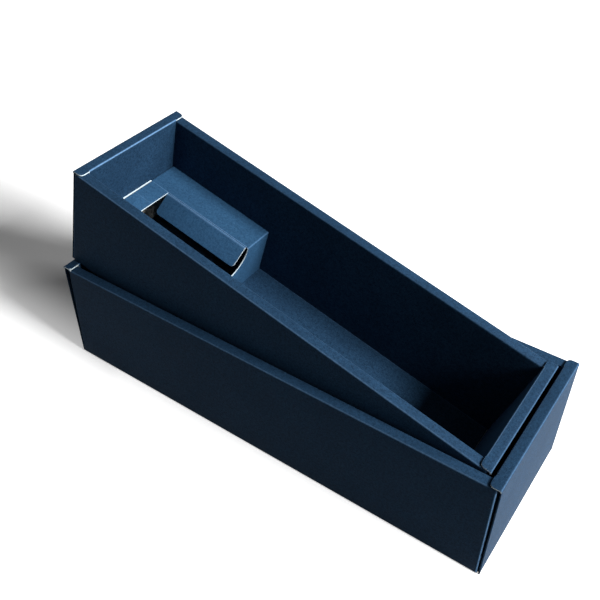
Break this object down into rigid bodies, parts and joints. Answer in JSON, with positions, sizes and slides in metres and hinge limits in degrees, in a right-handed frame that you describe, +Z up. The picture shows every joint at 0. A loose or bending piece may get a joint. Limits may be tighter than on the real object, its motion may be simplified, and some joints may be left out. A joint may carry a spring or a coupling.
{
  "type": "wine gift box",
  "caption": "Long folded-card gift box for a bottle: a lid tray, a base tray leaning open in it on one end, and a folded neck holder with two drooping flaps.",
  "frame": {"origin": "middle of the lid tray's underside, on the surface that it stands on", "axes": "+X along the box towards the end that the base tray's lower end stands at, +Y away from the front, +Z up"},
  "size_m": [0.36, 0.125, 0.1767],
  "materials": {
    "navy_card": "matt paper-faced card, with bare off-white inner side and cut edges"
  },
  "bodies": {
    "lid_tray": {"lid_far_floor_flap": "navy_card", "lid_far_inner_wall": "navy_card", "lid_far_left_tuck_flap": "navy_card", "lid_far_outer_wall": "navy_card", "lid_far_right_tuck_flap": "navy_card", "lid_far_rim": "navy_card", "lid_floor": "navy_card", "lid_left_inner_wall": "navy_card", "lid_left_outer_wall": "navy_card", "lid_left_rim": "navy_card", "lid_near_floor_flap": "navy_card", "lid_near_inner_wall": "navy_card", "lid_near_left_tuck_flap": "navy_card", "lid_near_outer_wall": "navy_card", "lid_near_right_tuck_flap": "navy_card", "lid_near_rim": "navy_card", "lid_right_inner_wall": "navy_card", "lid_right_outer_wall": "navy_card", "lid_right_rim": "navy_card"},
    "base_tray": {"base_far_floor_flap": "navy_card", "base_far_inner_wall": "navy_card", "base_far_left_tuck_flap": "navy_card", "base_far_outer_wall": "navy_card", "base_far_right_tuck_flap": "navy_card", "base_far_rim": "navy_card", "base_floor": "navy_card", "base_left_inner_wall": "navy_card", "base_left_outer_wall": "navy_card", "base_left_rim": "navy_card", "base_near_floor_flap": "navy_card", "base_near_inner_wall": "navy_card", "base_near_left_tuck_flap": "navy_card", "base_near_outer_wall": "navy_card", "base_near_right_tuck_flap": "navy_card", "base_near_rim": "navy_card", "base_right_inner_wall": "navy_card", "base_right_outer_wall": "navy_card", "base_right_rim": "navy_card"},
    "neck_holder": {"neck_holder_end": "navy_card", "neck_holder_front": "navy_card", "neck_holder_top": "navy_card"},
    "near_flap": {"neck_flap_near": "navy_card"},
    "far_flap": {"neck_flap_far": "navy_card"}
  },
  "joints": [
    {"name": "base_lift", "type": "slide", "parent": "lid_tray", "child": "base_tray", "axis": [0, 0, 1], "range_m": [0, 0.12]},
    {"name": "holder_lift", "type": "slide", "parent": "base_tray", "child": "neck_holder", "axis": [0.2629, 0, 0.9648], "range_m": [0, 0.09]},
    {"name": "near_flap_crease", "type": "hinge", "parent": "neck_holder", "child": "near_flap", "pos_m": [-0.10232, -0.0182, 0.1156], "axis": [0.9648, 0, -0.2629], "range_deg": [-45, 45]},
    {"name": "far_flap_crease", "type": "hinge", "parent": "neck_holder", "child": "far_flap", "pos_m": [-0.10232, 0.0182, 0.1156], "axis": [-0.9648, 0, 0.2629], "range_deg": [-45, 45]}
  ]
}
